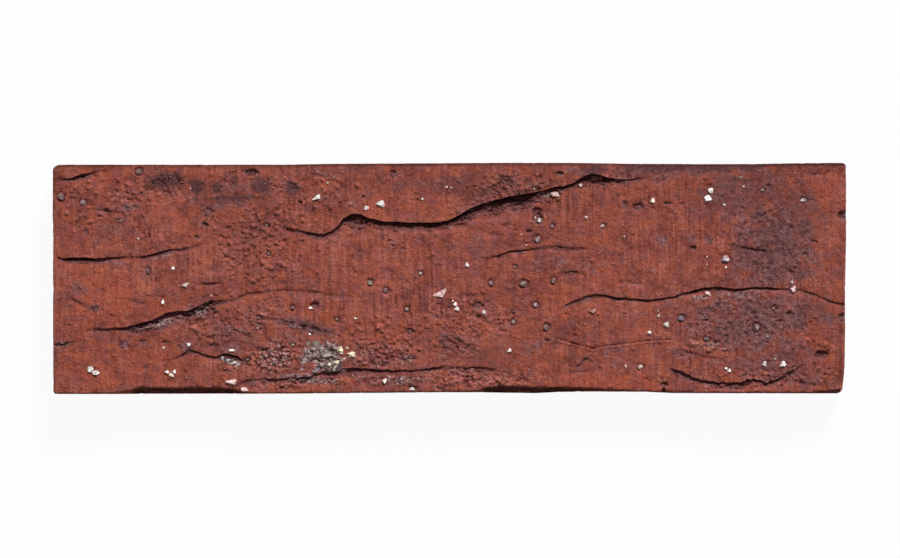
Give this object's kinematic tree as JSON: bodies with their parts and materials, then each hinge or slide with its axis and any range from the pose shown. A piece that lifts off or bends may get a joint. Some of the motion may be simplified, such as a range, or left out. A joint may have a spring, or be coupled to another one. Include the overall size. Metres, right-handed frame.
{
  "type": "clinker brick slip",
  "caption": "Thin fired clinker clay slip with a torn, folded and gritty weathered face and a grooved bonding back, for facing a wall.",
  "frame": {"origin": "middle of the back face, on the level floor that the slip lies on", "axes": "+X along the length, +Y across it towards the upper edge as laid in a wall, +Z out of the weathered face"},
  "size_m": [0.24, 0.07, 0.0145],
  "materials": {
    "fired_clay": "matt red-brown fired clay with dark kiln burns and pale grit"
  },
  "bodies": {
    "root": {"brick_slip": "fired_clay"}
  },
  "joints": []
}
